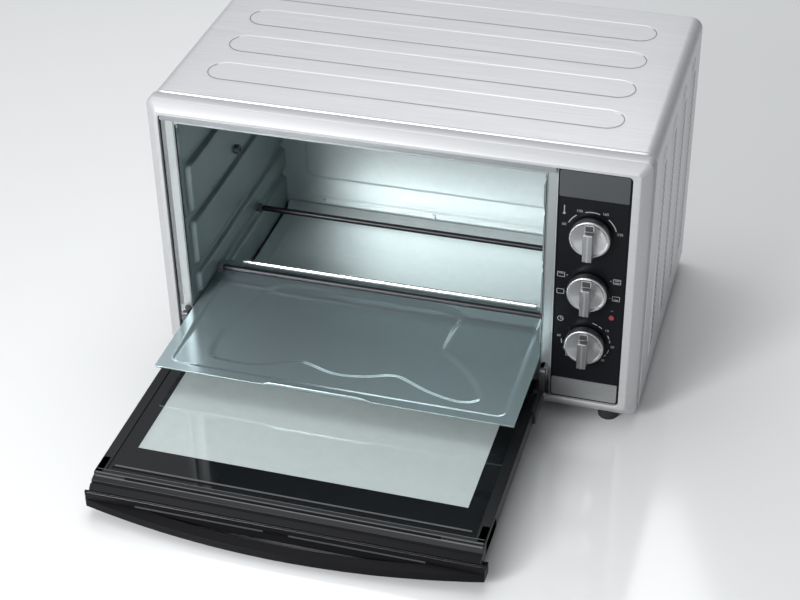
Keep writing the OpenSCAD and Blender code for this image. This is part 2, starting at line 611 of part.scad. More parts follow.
module foot_screws() color("silver") place() for (p = foot_places()) {
    translate([p[0], p[1], -7]) cylinder(h = 2, r = 3.4);
    translate([p[0], p[1], -5]) cylinder(h = 11, r = 1.7);
}
module cover_screws() color("silver") place() for (x = cover_screw_x(), z = [30, body_h - 30])
    screw_y(x, body_d, z, 1);
gland_x = body_w - 70;
gland_z = 40;
gland_r = 8;
module cord_gland() color([0.08, 0.08, 0.08]) place() difference() {
    union() {
        rod_y(body_d, body_d + gland_out, gland_x, gland_z, gland_r + 3);
        rod_y(body_d - 8, body_d, gland_x, gland_z, gland_r - 0.1);
    }
    rod_y(body_d - 9, body_d + gland_out + 1, gland_x, gland_z, 3.6);
}
module terminal_block() color("ivory") place() difference() {
    box([gland_x - 24, body_d - 62, 4], [gland_x + 24, body_d - 40, 22]);
    for (i = [-1:1]) rod_y(body_d - 63, body_d - 39, gland_x + i * 14, 14, 2.5);
}

base_pan();
outer_cover();
rear_panel();
front_bezel();
cavity_front();
cavity_left();
cavity_right();
cavity_back();
cavity_floor();
cavity_top();
partition();
control_panel();
panel_trim();
control_bracket();
thermostat();
function_switch();
timer();
indicator_lens();
indicator_lamp();
temperature_knob();
temperature_shaft();
function_knob();
function_shaft();
timer_knob();
timer_shaft();
lower_heaters();
upper_heaters();
heater_bushes();
spit_bracket();
spit_motor();
spit_coupling();
crumb_tray();
door_frame();
door_glass();
glass_clips();
glass_screws();
door_handle();
handle_screws();
hinge_arm_left();
hinge_arm_right();
hinge_bracket_left();
hinge_bracket_right();
hinge_pins();
foot_front_left();
foot_front_right();
foot_rear_left();
foot_rear_right();
foot_screws();
cover_screws();
terminal_block();
cord_gland();
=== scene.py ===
import json
import math
import bpy
import bmesh
from mathutils import Matrix, Vector


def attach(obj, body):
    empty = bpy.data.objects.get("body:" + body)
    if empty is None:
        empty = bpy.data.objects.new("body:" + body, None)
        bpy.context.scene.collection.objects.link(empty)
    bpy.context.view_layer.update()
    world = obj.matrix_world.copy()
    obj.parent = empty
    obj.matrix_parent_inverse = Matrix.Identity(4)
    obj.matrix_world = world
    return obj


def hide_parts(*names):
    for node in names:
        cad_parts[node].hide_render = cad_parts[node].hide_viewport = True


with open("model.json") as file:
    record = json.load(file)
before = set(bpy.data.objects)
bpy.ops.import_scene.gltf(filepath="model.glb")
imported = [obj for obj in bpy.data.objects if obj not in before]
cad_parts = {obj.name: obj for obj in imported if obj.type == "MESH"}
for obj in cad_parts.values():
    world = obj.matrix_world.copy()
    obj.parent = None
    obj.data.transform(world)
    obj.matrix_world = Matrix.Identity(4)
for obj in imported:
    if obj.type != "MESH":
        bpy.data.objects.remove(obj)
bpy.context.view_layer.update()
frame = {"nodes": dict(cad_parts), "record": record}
nodes = frame["nodes"]

# Drawing coordinates: millimetres from the casing's lower left front corner.
DX, DY, DZ = -290.0, -25.0, 13.0
MM = 1000  # millimetres in a metre


def place(x, y, z):
    """A drawing point in the frame's metres."""
    return Vector(((x + DX) / MM, (y + DY) / MM, (z + DZ) / MM))


# ---------------------------------------------------------------- camera
YAW, PITCH, ROLL = 16.90, 35.46, -1.16  # degrees
EYE = (779.8, -1582.6, 1298.9)
FOCAL_SHARE = 1751.8 / 800  # focal length over the picture's width
SENSOR = 36


def camera():
    yaw, pitch, roll = math.radians(YAW), math.radians(PITCH), math.radians(ROLL)
    fwd = Vector((-math.sin(yaw) * math.cos(pitch), math.cos(yaw) * math.cos(pitch), -math.sin(pitch)))
    right = Vector((math.cos(yaw), math.sin(yaw), 0))
    up = right.cross(fwd)
    r2 = math.cos(roll) * right + math.sin(roll) * up
    u2 = -math.sin(roll) * right + math.cos(roll) * up
    cam = bpy.data.objects.new("camera", bpy.data.cameras.new("camera"))
    bpy.context.scene.collection.objects.link(cam)
    m = Matrix((r2, u2, -fwd)).transposed().to_4x4()
    m.translation = place(*EYE)
    cam.matrix_world = m
    cam.data.sensor_width = SENSOR
    cam.data.lens = FOCAL_SHARE * SENSOR
    cam.data.clip_start, cam.data.clip_end = 0.05, 40
    bpy.context.scene.camera = cam


camera()


# ---------------------------------------------------------------- materials
COLOR_WANDER = 0.05  # share by which a plain material's colour wanders
ROUGH_WANDER = 0.03


def material(name, color, rough=0.5, metal=0.0, coat=0.0, bump=None, spec=0.5, wander=70, **more):
    m = bpy.data.materials.new(name)
    m.use_nodes = True
    nt = m.node_tree
    b = nt.nodes["Principled BSDF"]
    b.inputs["Base Color"].default_value = (*color, 1)
    b.inputs["Roughness"].default_value = rough
    b.inputs["Metallic"].default_value = metal
    b.inputs["Specular IOR Level"].default_value = spec
    b.inputs["Coat Weight"].default_value = coat
    b.inputs["Coat Roughness"].default_value = 0.12
    if bump:
        noise(nt, b, *bump)
    for k, v in more.items():
        b.inputs[k.replace("_", " ")].default_value = v
    if wander:
        low = [c * (1 - COLOR_WANDER) for c in color]
        high = [c * (1 + COLOR_WANDER) for c in color]
        vary(m, (wander,) * 3, low, high, max(rough - ROUGH_WANDER, 0.02), rough + ROUGH_WANDER)
    return m


def coords(nt, scale):
    tc = nt.nodes.new("ShaderNodeTexCoord")
    mp = nt.nodes.new("ShaderNodeMapping")
    mp.inputs["Scale"].default_value = scale
    nt.links.new(tc.outputs["Object"], mp.inputs["Vector"])
    return mp.outputs["Vector"]


def noise(nt, b, scale, strength, dist):
    """Fine bump from a noise."""
    v = coords(nt, scale)
    n = nt.nodes.new("ShaderNodeTexNoise")
    n.inputs["Scale"].default_value = 1.0
    n.inputs["Detail"].default_value = 3.0
    nt.links.new(v, n.inputs["Vector"])
    bp = nt.nodes.new("ShaderNodeBump")
    bp.inputs["Strength"].default_value = strength
    bp.inputs["Distance"].default_value = dist
    nt.links.new(n.outputs["Fac"], bp.inputs["Height"])
    nt.links.new(bp.outputs["Normal"], b.inputs["Normal"])


def vary(m, scale, c0, c1, r0=None, r1=None, kind="noise", detail=3.0):
    """Lets colour, and roughness if given, wander between two values."""
    nt = m.node_tree
    b = nt.nodes["Principled BSDF"]
    v = coords(nt, scale)
    if kind == "noise":
        n = nt.nodes.new("ShaderNodeTexNoise")
        n.inputs["Scale"].default_value = 1.0
        n.inputs["Detail"].default_value = detail
        out = n.outputs["Fac"]
    else:
        n = nt.nodes.new("ShaderNodeTexVoronoi")
        n.inputs["Scale"].default_value = 1.0
        sep = nt.nodes.new("ShaderNodeSeparateColor")
        nt.links.new(n.outputs["Color"], sep.inputs["Color"])
        out = sep.outputs["Red"]
    nt.links.new(v, n.inputs["Vector"])
    mix = nt.nodes.new("ShaderNodeMix")
    mix.data_type = "RGBA"
    mix.inputs["A"].default_value = (*c0, 1)
    mix.inputs["B"].default_value = (*c1, 1)
    nt.links.new(out, mix.inputs["Factor"])
    nt.links.new(mix.outputs["Result"], b.inputs["Base Color"])
    if r0 is not None:
        mr = nt.nodes.new("ShaderNodeMapRange")
        mr.inputs["To Min"].default_value = r0
        mr.inputs["To Max"].default_value = r1
        nt.links.new(out, mr.inputs["Value"])
        nt.links.new(mr.outputs["Result"], b.inputs["Roughness"])
    return m


BRUSHING = 0.35  # how far the brushing shifts the fade


def painted_reflection_fade(m, z0, z1, c0, c1):
    """Colour runs from c0 at height z0 to c1 at height z1, a painted reflection that changes with height,
    with fine brushing on top.
    """
    nt = m.node_tree
    v = coords(nt, (1, 1, 1))
    sep = nt.nodes.new("ShaderNodeSeparateXYZ")
    nt.links.new(v, sep.inputs["Vector"])
    n = nt.nodes.new("ShaderNodeTexNoise")
    n.inputs["Scale"].default_value = 1.0
    nt.links.new(coords(nt, (25, 25, 3000)), n.inputs["Vector"])
    mr = nt.nodes.new("ShaderNodeMapRange")
    mr.inputs["From Min"].default_value = z0
    mr.inputs["From Max"].default_value = z1
    nt.links.new(sep.outputs["Z"], mr.inputs["Value"])
    add = nt.nodes.new("ShaderNodeMath")
    add.operation = "MULTIPLY_ADD"
    add.inputs[1].default_value = BRUSHING
    nt.links.new(n.outputs["Fac"], add.inputs[0])
    nt.links.new(mr.outputs["Result"], add.inputs[2])
    mix = nt.nodes.new("ShaderNodeMix")
    mix.data_type = "RGBA"
    mix.inputs["A"].default_value = (*c0, 1)
    mix.inputs["B"].default_value = (*c1, 1)
    nt.links.new(add.outputs["Value"], mix.inputs["Factor"])
    nt.links.new(mix.outputs["Result"], nt.nodes["Principled BSDF"].inputs["Base Color"])
    return m


def spun(m):
    """Turns the highlight round the knob's axis, as on a lathe-spun face."""
    nt = m.node_tree
    t = nt.nodes.new("ShaderNodeTangent")
    t.direction_type, t.axis = "RADIAL", "Y"
    nt.links.new(t.outputs["Tangent"], nt.nodes["Principled BSDF"].inputs["Tangent"])
    return m


PAINT_BUMP = ((900, 900, 900), 0.05, 0.00005)
MOULD_BUMP = ((1500, 1500, 1500), 0.04, 0.00005)
BRUSH_SCALE = (9, 420, 420)

silver = vary(material("silver_paint", (0.64, 0.64, 0.655), 0.36, 0.75, bump=PAINT_BUMP, wander=0),
              BRUSH_SCALE, (0.57, 0.57, 0.585), (0.71, 0.71, 0.725), 0.33, 0.40, detail=5.0)
bezel_m = vary(material("bezel_paint", (0.44, 0.445, 0.455), 0.50, 0.35,
                        bump=((1200, 1200, 1200), 0.04, 0.00005), wander=0),
               BRUSH_SCALE, (0.405, 0.41, 0.42), (0.475, 0.48, 0.49), 0.46, 0.53, detail=5.0)
pan_m = material("zinc_pan", (0.5, 0.51, 0.52), 0.42, 0.9)
liner_m = vary(material("galvanised", (0.5, 0.55, 0.56), 0.34, 0.45,
                        bump=((35, 35, 35), 0.08, 0.0005), wander=0),
               (130, 130, 130), (0.675, 0.75, 0.755), (0.705, 0.775, 0.78), 0.30, 0.35, "voronoi")
# darker copy of the galvanised liner, painted shade on the side walls and the ceiling
shaded_wall_m = vary(material("galvanised_side_shade", (0.3, 0.35, 0.36), 0.42, 0.55,
                       bump=((35, 35, 35), 0.10, 0.0005), wander=0),
              (40, 40, 40), (0.26, 0.315, 0.32), (0.30, 0.355, 0.36), 0.38, 0.46, "voronoi")
tray_m = vary(material("tray_sheet", (0.5, 0.6, 0.62), 0.2, 0.72,
                       bump=((25, 25, 25), 0.05, 0.0005), wander=0),
              (45, 45, 45), (0.44, 0.54, 0.565), (0.47, 0.57, 0.595), 0.17, 0.21)
# lighter copy of the tray sheet, painted highlight on the rolled rear lip
lip_highlight_m = material("tray_lip_highlight", (0.80, 0.84, 0.85), 0.16, 0.85)
flange_m = material("flange_paint", (0.30, 0.325, 0.33), 0.34, 0.7, bump=PAINT_BUMP)
part_m = material("partition_paint", (0.40, 0.43, 0.43), 0.34, 0.6)
fascia_m = material("fascia_black", (0.004, 0.0045, 0.006), 0.30, 0.0, spec=0.12,
                    bump=((2000, 2000, 2000), 0.03, 0.00003))
# brushed trim with a painted reflection, lighter at the bottom and darker at the top
trim_m = painted_reflection_fade(material("brushed_trim", (0.14, 0.145, 0.15), 0.40, 0.9,
                       bump=((15, 400, 2500), 0.25, 0.0002), wander=0),
              0.03, 0.32, (0.40, 0.41, 0.415), (0.085, 0.09, 0.093))
bracket_m = material("zinc_bracket", (0.5, 0.5, 0.5), 0.4, 0.9)
switch_m = material("switch_resin", (0.62, 0.58, 0.46), 0.55)
lens_m = material("red_lens", (0.20, 0.022, 0.035), 0.25, 0.0, coat=0.3)
lamp_m = material("lamp_body", (0.8, 0.45, 0.2), 0.4)
knob_m = spun(material("knob_silver", (0.40, 0.405, 0.412), 0.30, 0.95, Anisotropic=0.75))
knob_top = material("knob_brushed", (0.27, 0.275, 0.282), 0.33, 0.95, bump=((2500, 300, 60), 0.3, 0.0002))
shaft_m = material("shaft_brass", (0.7, 0.52, 0.25), 0.3, 1.0)
rod_m = material("rod_dark", (0.018, 0.018, 0.022), 0.38, 0.3)
ceramic_m = material("bush_ceramic", (0.16, 0.16, 0.16), 0.6)
motor_m = material("zinc_dark", (0.22, 0.24, 0.25), 0.4, 0.9)
door_m = material("door_black", (0.007, 0.008, 0.009), 0.36, 0.0, spec=0.20, bump=MOULD_BUMP)
handle_m = material("handle_black", (0.004, 0.004, 0.005), 0.40, 0.0, spec=0.09, bump=MOULD_BUMP)
hinge_m = material("hinge_dark", (0.09, 0.09, 0.095), 0.38, 0.8)
pin_m = material("pin_steel", (0.6, 0.6, 0.6), 0.3, 1.0)
foot_m = material("foot_rubber", (0.012, 0.012, 0.012), 0.6)
screw_m = material("screw_steel", (0.55, 0.55, 0.55), 0.3, 1.0)
gland_m = material("gland_black", (0.015, 0.015, 0.015), 0.5)
recess_shade_m = material("recess_shade", (0.03, 0.03, 0.033), 0.5)
# for the flat strips and thin bars that stand for vents, creases, gaps, grooves and arrises: painted shade,
# and lighter painted highlight for the arrises
vent_shade_m = material("vent_shade", (0.045, 0.047, 0.05), 0.6)
crease_shade_m = material("crease_shade", (0.26, 0.26, 0.275), 0.42, 0.7)
shade_paint_m = material("seam_shade", (0.008, 0.008, 0.009), 0.7, spec=0.04)
painted_highlight_m = material("moulding_edge_highlight", (0.06, 0.064, 0.068), 0.32, 0.0, spec=0.5)
print_m = material("dial_print", (0.27, 0.275, 0.28), 0.5, wander=300)
strip_m = material("mouth_strip", (0.21, 0.225, 0.235), 0.34, 0.6)
groove_shade_m = material("groove_shade", (0.16, 0.17, 0.175), 0.4, 0.5)
# pale glass that is partly diffuse: the diffuse share is painted reflection that brightens the window
glass_m = material("door_glass", (0.75, 0.83, 0.82), 0.03, 0.0, IOR=1.5, Transmission_Weight=0.55)
border_m = material("glass_border", (0.006, 0.007, 0.008), 0.05, 0.0, spec=0.45,
                    bump=((30, 30, 30), 0.02, 0.0001))

by_slot = {
    "pan": pan_m, "cover": silver, "bezel": bezel_m, "liner": liner_m, "tray": tray_m,
    "flange": flange_m, "partition": part_m, "fascia": fascia_m, "trim": trim_m,
    "bracket": bracket_m, "switchgear": switch_m, "lens": lens_m, "lamp": lamp_m, "knob": knob_m,
    "shaft": shaft_m, "heater": rod_m, "ceramic": ceramic_m, "motor": motor_m, "door": door_m,
    "glass": glass_m, "handle": handle_m, "hinge": hinge_m, "pin": pin_m, "foot": foot_m,
    "screw": screw_m, "gland": gland_m,
}
black_screw_m = material("black_screw", (0.012, 0.012, 0.013), 0.35, 0.6)
node_slot = {s["node"]: s["material_slot"] for s in frame["record"]["subparts"]}
soft_edge = {
    "door_handle": 1.6, "base_pan": 0.2, "rear_panel": 0.3, "cavity_front": 0.3,
    "panel_trim": 0.25, "control_panel": 0.5, "hinge_arm_left": 0.6, "hinge_arm_right": 0.6,
    "partition": 0.3, "spit_bracket": 0.4, "cord_gland": 0.8, "terminal_block": 0.5,
    "foot_front_left": 1.0, "foot_front_right": 1.0, "foot_rear_left": 1.0, "foot_rear_right": 1.0,
    "cavity_floor": 0.2, "hinge_bracket_left": 0.3, "hinge_bracket_right": 0.3, "door_glass": 0.4,
}
for name, o in nodes.items():
    o.data.materials.clear()
    mat = black_screw_m if name == "handle_screws" else by_slot[node_slot[name]]
    o.data.materials.append(mat)
    if name in soft_edge:
        mod = o.modifiers.new("soft", "BEVEL")
        mod.width = soft_edge[name] / MM
        mod.segments = 3
        mod.limit_method = "ANGLE"
        mod.angle_limit = math.radians(28)
        mod.harden_normals = True
        for poly in o.data.polygons:
            poly.use_smooth = True


# ---------------------------------------------------------------- mesh helpers
def make(name, verts, faces, mat, body="oven", node=None, smooth=True, slot=None):
    """A piece from drawing points; it stands for the node if one is given."""
    me = bpy.data.meshes.new(name)
    me.from_pydata([place(*v) for v in verts], [], faces)
    me.update()
    me.materials.append(mat)
    for p in me.polygons:
        p.use_smooth = smooth
    ob = bpy.data.objects.new(name, me)
    bpy.context.scene.collection.objects.link(ob)
    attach(ob, body)
    if node:
        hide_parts(node)
        slot = slot or node_slot[node]
    return ob


def smooth01(t):
    t = max(0.0, min(1.0, t))
    return t * t * (3 - 2 * t)


def steps(a, b, coarse, fine=(), reach=3.0, pitch=0.8):
    """Positions from a to b, close together near the listed places."""
    out = {round(a, 4), round(b, 4)}
    n = max(1, int(round((b - a) / coarse)))
    out |= {round(a + (b - a) * i / n, 4) for i in range(n + 1)}
    for f in fine:
        k = -reach
        while k <= reach + 1e-6:
            if a < f + k < b:
                out.add(round(f + k, 4))
            k += pitch
    vals = sorted(out)
    keep = [vals[0]]
    for v in vals[1:]:
        if v - keep[-1] > pitch * 0.55 or v == vals[-1]:
            keep.append(v)
    return keep


def relief(name, us, vs, at, mat, **kw):
    """A sheet drawn over a grid; at(u, v) gives the point."""
    verts = [at(u, v) for u in us for v in vs]
    nv = len(vs)
    faces = [(i * nv + j, (i + 1) * nv + j, (i + 1) * nv + j + 1, i * nv + j + 1)
             for i in range(len(us) - 1) for j in range(nv - 1)]
    return make(name, verts, faces, mat, **kw)


def round_rect_sdf(x, y, x0, y0, x1, y1, r):
    cx, cy, hx, hy = (x0 + x1) / 2, (y0 + y1) / 2, (x1 - x0) / 2 - r, (y1 - y0) / 2 - r
    qx, qy = abs(x - cx) - hx, abs(y - cy) - hy
    return math.hypot(max(qx, 0), max(qy, 0)) + min(max(qx, qy), 0) - r


def rect(x0, y0, x1, y1):
    return [(x0, y0), (x1, y0), (x1, y1), (x0, y1)]


def prism(pts, a, b, axis):
    """Verts and faces of an outline extruded along an axis from a to b."""
    n = len(pts)

    def put(p, k):
        return {"x": (k, p[0], p[1]), "y": (p[0], k, p[1]), "z": (p[0], p[1], k)}[axis]
    verts = [put(p, a) for p in pts] + [put(p, b) for p in pts]
    faces = [tuple(range(n)), tuple(range(2 * n - 1, n - 1, -1))]
    faces += [(i, i + n, (i + 1) % n + n, (i + 1) % n) for i in range(n)]
    return verts, faces


def solid(name, pts, a, b, axis, mat, bevel=0.0, **kw):
    v, f = prism(pts, a, b, axis)
    ob = make(name, v, f, mat, smooth=bool(bevel), **kw)
    face_outward(ob)
    if bevel:
        mod = ob.modifiers.new("soft", "BEVEL")
        mod.width = bevel / MM
        mod.segments = 3
        mod.limit_method = "ANGLE"
        mod.harden_normals = True
    return ob


def ring(x0, z0, x1, z1, r, n=8):
    """A rectangle's outline with rounded corners."""
    pts = []
    corners = ((x1 - r, z1 - r, 0), (x0 + r, z1 - r, 90), (x0 + r, z0 + r, 180), (x1 - r, z0 + r, 270))
    for cx, cz, a0 in corners:
        for i in range(n + 1):
            a = math.radians(a0 + 90 * i / n)
            pts.append((cx + r * math.cos(a), cz + r * math.sin(a)))
    return pts


def face_outward(ob):
    bm = bmesh.new()
    bm.from_mesh(ob.data)
    bmesh.ops.recalc_face_normals(bm, faces=bm.faces)
    bm.to_mesh(ob.data)
    bm.free()


def lathe_y(profile, cx, cz, n=72):
    """Turns (radius, y) points about an axis along Y."""
    verts, faces = [], []
    for r, y in profile:
        for i in range(n):
            a = 2 * math.pi * i / n
            verts.append((cx + r * math.sin(a), y, cz + r * math.cos(a)))
    for k in range(len(profile) - 1):
        for i in range(n):
            j = (i + 1) % n
            faces.append((k * n + i, k * n + j, (k + 1) * n + j, (k + 1) * n + i))
    return verts, faces


# ---------------------------------------------------------------- casing
W, D, H = 580.0, 360.0, 342.0
R = 14.0                      # cover's corner radius
COVER_Y = 25                  # cover's front edge
RIB_Y = [COVER_Y + 65 + i * (D - COVER_Y - 51) / 4 for i in range(4)]
RIB_X0, RIB_X1, RIB_HALF = 45, W - 47, 21       # ribs across the top
SIDE_Z0, SIDE_Z1, SIDE_HALF = 40, H - 36, 11    # ribs down the sides
SIDE_RISE = 1.5
CREASE_W = 1.4


def cover_path():
    """(x, z, nx, nz, face) down the left side, over the top and down the right."""
    out = []
    zs = steps(1.6, H - R, 14, (SIDE_Z0 - SIDE_HALF, SIDE_Z1 + SIDE_HALF), 14, 1.6)
    out += [(0, z, -1, 0, "left") for z in zs]
    for i in range(1, 9):
        a = math.pi / 2 * i / 9
        out.append((R - R * math.cos(a), H - R + R * math.sin(a), -math.cos(a), math.sin(a), "corner"))
    xs = steps(R, W - R, 22, (RIB_X0 + 10, RIB_X1 - 10), 13, 1.6)
    out += [(x, H, 0, 1, "top") for x in xs]
    for i in range(1, 9):
        a = math.pi / 2 * i / 9
        out.append((W - R + R * math.sin(a), H - R + R * math.cos(a), math.sin(a), math.cos(a), "corner"))
    out += [(W, z, 1, 0, "right") for z in reversed(zs)]
    return out


def cover():
    edges = [y + s * half for half in (RIB_HALF, SIDE_HALF) for y in RIB_Y for s in (-1, 1)]
    ys = [25.0, 25.3, 25.6, 25.9, 26.3, 26.8, 27.4, 28.0, 28.6, 29.3, 30.0]
    ys += steps(31, D - 1, 9, edges, 2.6, 0.75)
    path = cover_path()

    def at(i, y):
        x, z, nx, nz, face = path[int(i)]
        h = 0.0
        if y < 30:
            bead = smooth01((y - COVER_Y) / 1.2) * smooth01((30 - y) / 2.6)
            h = -1.1 * smooth01((26.0 - y) / 1.0) + 0.8 * bead
        if face == "top":
            for c in RIB_Y:
                dx = max(RIB_X0 + RIB_HALF - x, x - (RIB_X1 - RIB_HALF), 0)
                d = math.hypot(dx, y - c) - RIB_HALF
                h -= 0.22 * smooth01(0.5 - d / 2.0)
        elif face in ("left", "right"):
            for c in RIB_Y:
                dz = max(SIDE_Z0 - z, z - SIDE_Z1, 0)
                d = math.hypot(dz, y - c) - SIDE_HALF
                h = max(h, SIDE_RISE * smooth01(0.5 - d / 2.6))
        return (x + nx * h, y, z + nz * h)

    relief("cover_skin", range(len(path)), ys, at, silver, node="outer_cover")
    side_vents()
    rib_creases()


def side_vents():
    """Flat dark shapes of painted shade that stand for small perforations, two rows on each side rib."""
    half = 1.9
    proud = SIDE_RISE + 0.06
    verts, faces = [], []
    for side, x in ((-1, -proud), (1, W + proud)):
        for c in RIB_Y:
            for row in (-4.2, 4.2):
                z = 52.0
                while z < H - 44:
                    k = len(verts)
                    for a in range(10):
                        t = 2 * math.pi * a / 10
                        dz = half if math.sin(t) > 0 else -half
                        verts.append((x, c + row + half * math.cos(t), z + dz + half * math.sin(t)))
                    f = tuple(range(k, k + 10))
                    faces.append(f if side > 0 else tuple(reversed(f)))
                    z += 9.0
    make("side_vents", verts, faces, vent_shade_m, smooth=False, slot="cover")


def rib_creases():
    """Flat grey strips of painted shade that stand for the crease along each top rib's front edge and ends.
    """
    inset = CREASE_W
    for i, c in enumerate(RIB_Y):
        outer = ring(RIB_X0, c - RIB_HALF, RIB_X1, c + RIB_HALF, RIB_HALF, 16)
        inner = ring(RIB_X0 + inset, c - RIB_HALF + inset, RIB_X1 - inset, c + RIB_HALF - inset,
                     RIB_HALF - inset, 16)
        n = len(outer)
        v = [(x, y, H + 0.04) for x, y in outer + inner]
        f = [(k, (k + 1) % n, n + (k + 1) % n, n + k) for k in range(n)
             if max(outer[k][1], outer[(k + 1) % n][1]) < c + 15]
        make("rib_crease_%d" % i, v, f, crease_shade_m, smooth=False, slot="cover")


cover()


def sweep_rings(name, rings, mat, **kw):
    """Skins a list of (outline, y) rings that all have as many points."""
    n = len(rings[0][0])
    v = [(x, y, z) for pts, y in rings for x, z in pts]
    f = [(k * n + i, k * n + (i + 1) % n, (k + 1) * n + (i + 1) % n, (k + 1) * n + i)
         for k in range(len(rings) - 1) for i in range(n)]
    make(name, v, f, mat, **kw)


def bezel():
    rings = []
    # inset from the casing, depth, corner radius: from the cover round to the front face
    for inset, y, r in ((3.0, 24.9, 5.5), (0.5, 24.95, 8), (0.0, 24.4, 9), (0.0, 11.2, 9),
                        (0.12, 10.1, 9), (0.5, 9.1, 8.8), (1.15, 8.3, 8.4), (11.1, 0.75, 5.0),
                        (11.8, 0.28, 4.6), (12.5, 0.05, 4.3), (13.2, 0.0, 4.0)):
        rings.append((ring(inset, inset, W - inset, H - inset, r), y))
    # the turned-in lip round the opening
    for g, y in ((-0.9, 0.0), (-0.35, 0.12), (0.0, 0.6), (0.0, 4.6)):
        rings.append((ring(16.5 + g, 16 + g, 559.5 - g, 326 - g, 5), y))
    sweep_rings("bezel_skin", rings, bezel_m, node="front_bezel")


bezel()


def front_details():
    # dark raised ring, painted shade that stands for the shadow gap round the control panel
    outer, inner = ring(478.9, 17.1, 559.4, 325.8, 4.2), ring(480.0, 18.0, 556.6, 323.7, 2.6)
    back, front = 3.18, 2.95
    sweep_rings("panel_gap", [(outer, back), (outer, front), (inner, front), (inner, back)],
                shade_paint_m, slot="fascia", smooth=False)
    # stepped strip above the cavity mouth, and grey bars of painted shade that stand for the steps beside
    # it
    solid("mouth_strip_top", rect(17.6, 319.0, 476.8, 325.9), 1.3, 4.95, "y", strip_m, 0.8, slot="flange")
    for nm, x0, x1 in (("a", 17.7, 22.6), ("b", 32.0, 33.9), ("c", 466.1, 467.6)):
        solid("mouth_strip_" + nm, rect(x0, 60, x1, 318.4), 4.7, 4.98, "y", groove_shade_m, 0.1, slot="flange")


front_details()


# ---------------------------------------------------------------- cavity
LX0, LX1, LY0, LY1, FZ, CZ = 35.0, 465.0, 6.2, 328.0, 12.0, 308.0
BANDS = [(FZ, 56.0), (70.0, 100.0), (112.0, 173.0), (185.0, 250.0)]


def side_wall(name, x0, s, node, out):
    """A wall whose pressed bands stand out into the cavity; s is the way in."""
    zs = steps(FZ, CZ, 12, [b for p in BANDS for b in p], 3.2, 0.9)
    ys = steps(LY0, LY1, 12, (17, 24, 30), 7, 1.2)

    def at(y, z):
        h = 0.0
        for k, (b0, b1) in enumerate(BANDS):
            y_in = 20 if k else 12
            d = round_rect_sdf(y, z, y_in, b0 + 0.6, 400, b1 - 0.6, 6 if k else 1.0)
            if k == 0:
                d = max(y_in - y, z - b1 + 0.6)
            h = max(h, out * smooth01(0.5 - d / 4.6))
        # stamped boss near the mouth
        d = round_rect_sdf(y, z, 7.5, 262, 20, 300, 5)
        dot = math.hypot(y - 12, z - 191) - 4
        h = max(h, 3 * smooth01(0.5 - d / 3.0), 2.2 * smooth01(0.5 - dot / 3.0))
        return (x0 + s * h, y, z)

    relief(name, ys, zs, at, shaded_wall_m, node=node)


side_wall("wall_left", LX0, 1, "cavity_left", 6.5)
side_wall("wall_right", LX1, -1, "cavity_right", 5.0)


def back_wall():
    xs = steps(34, 466, 14, (74, 426, 60, 250, 440), 5, 1.2)
    zs = steps(FZ, CZ, 12, (30, 62, 70, 278, 286), 5, 1.2)

    def at(x, z):
        h = 1.4 * smooth01(0.5 - round_rect_sdf(x, z, 72, 62, 428, 284, 14) / 3.5)
        h += 1.2 * smooth01((33 - z) / 5)
        h += 0.7 * smooth01((20.5 - z) / 2.0)
        return (x, LY1 - h, z)

    relief("wall_back", xs, zs, at, liner_m, node="cavity_back")
    for i, x in enumerate((95.0, 250.0, 405.0)):
        solid("back_tab_%d" % i, rect(x - 2.2, 20.5, x + 2.2, 28), LY1 - 4.0, LY1 - 0.6, "y", liner_m, 0.5,
              slot="liner")


back_wall()


def ceiling():
    """The top sheet, whose front flares up to the mouth's edge, and the cheeks beside the flare."""
    sheet = [(LY1, CZ), (15.6, CZ), (6.6, 314.4), (6.6, 315.6), (15.9, CZ + 1.2), (LY1, CZ + 1.2)]
    solid("ceiling_sheet", sheet, 36, 464, "x", shaded_wall_m, 0.15, node="cavity_top")
    cheek = [(15.8, 307.6), (6.5, 307.6), (6.5, 314.6)]
    for nm, x in (("left", 35.2), ("right", 463.8)):
        solid("ceiling_cheek_" + nm, cheek, x, x + 1.0, "x", shaded_wall_m, 0.1, slot="liner")


ceiling()


def floor_sheet():
    xs = steps(45, 455, 14, (64, 436), 4, 1.2)
    ys = steps(12.2, LY1 - 12, 12, (60, 294), 4, 1.2)

    def at(x, y):
        h = 1.3 * smooth01(0.5 - round_rect_sdf(x, y, 64, 60, 436, 294, 8) / 3.5)
        return (x, y, FZ + 0.05 + h)

    relief("floor_press", xs, ys, at, liner_m, slot="liner")


floor_sheet()

# ---------------------------------------------------------------- crumb tray
TX0, TX1, TY0, TY1, TZ = 36.0, 464.0, -120.0, 109.0, 62.0
# The embossed wave: its front line, then its ends and rear
FRONT_WAVE = [(88, -62), (92, -80), (104, -85.5), (137, -86), (162, -80), (194, -66), (208, -68),
              (242, -78), (277, -74), (300, -65.5), (315, -64), (331, -71), (350, -80), (372, -87),
              (397, -90), (413, -82), (409, -66), (400, -51), (382, -30), (366, -16), (352, -4)]
REAR_WAVE = [(352, 30), (354, 62), (340, 76), (300, 80), (180, 80), (130, 76), (112, 62), (106, 44),
             (97, 0), (88, -30)]


def closed_spline(pts, per):
    """A closed smooth curve through the points, with per points for each span."""
    out, n = [], len(pts)
    for i in range(n):
        p0, p1, p2, p3 = (pts[k % n] for k in (i - 1, i, i + 1, i + 2))
        for k in range(per):
            t = k / per
            point = []
            for j in (0, 1):
                square = 2 * p0[j] - 5 * p1[j] + 4 * p2[j] - p3[j]
                cube = 3 * p1[j] - p0[j] - 3 * p2[j] + p3[j]
                point.append(0.5 * (2 * p1[j] + (p2[j] - p0[j]) * t + square * t * t + cube * t ** 3))
            out.append(tuple(point))
    return out


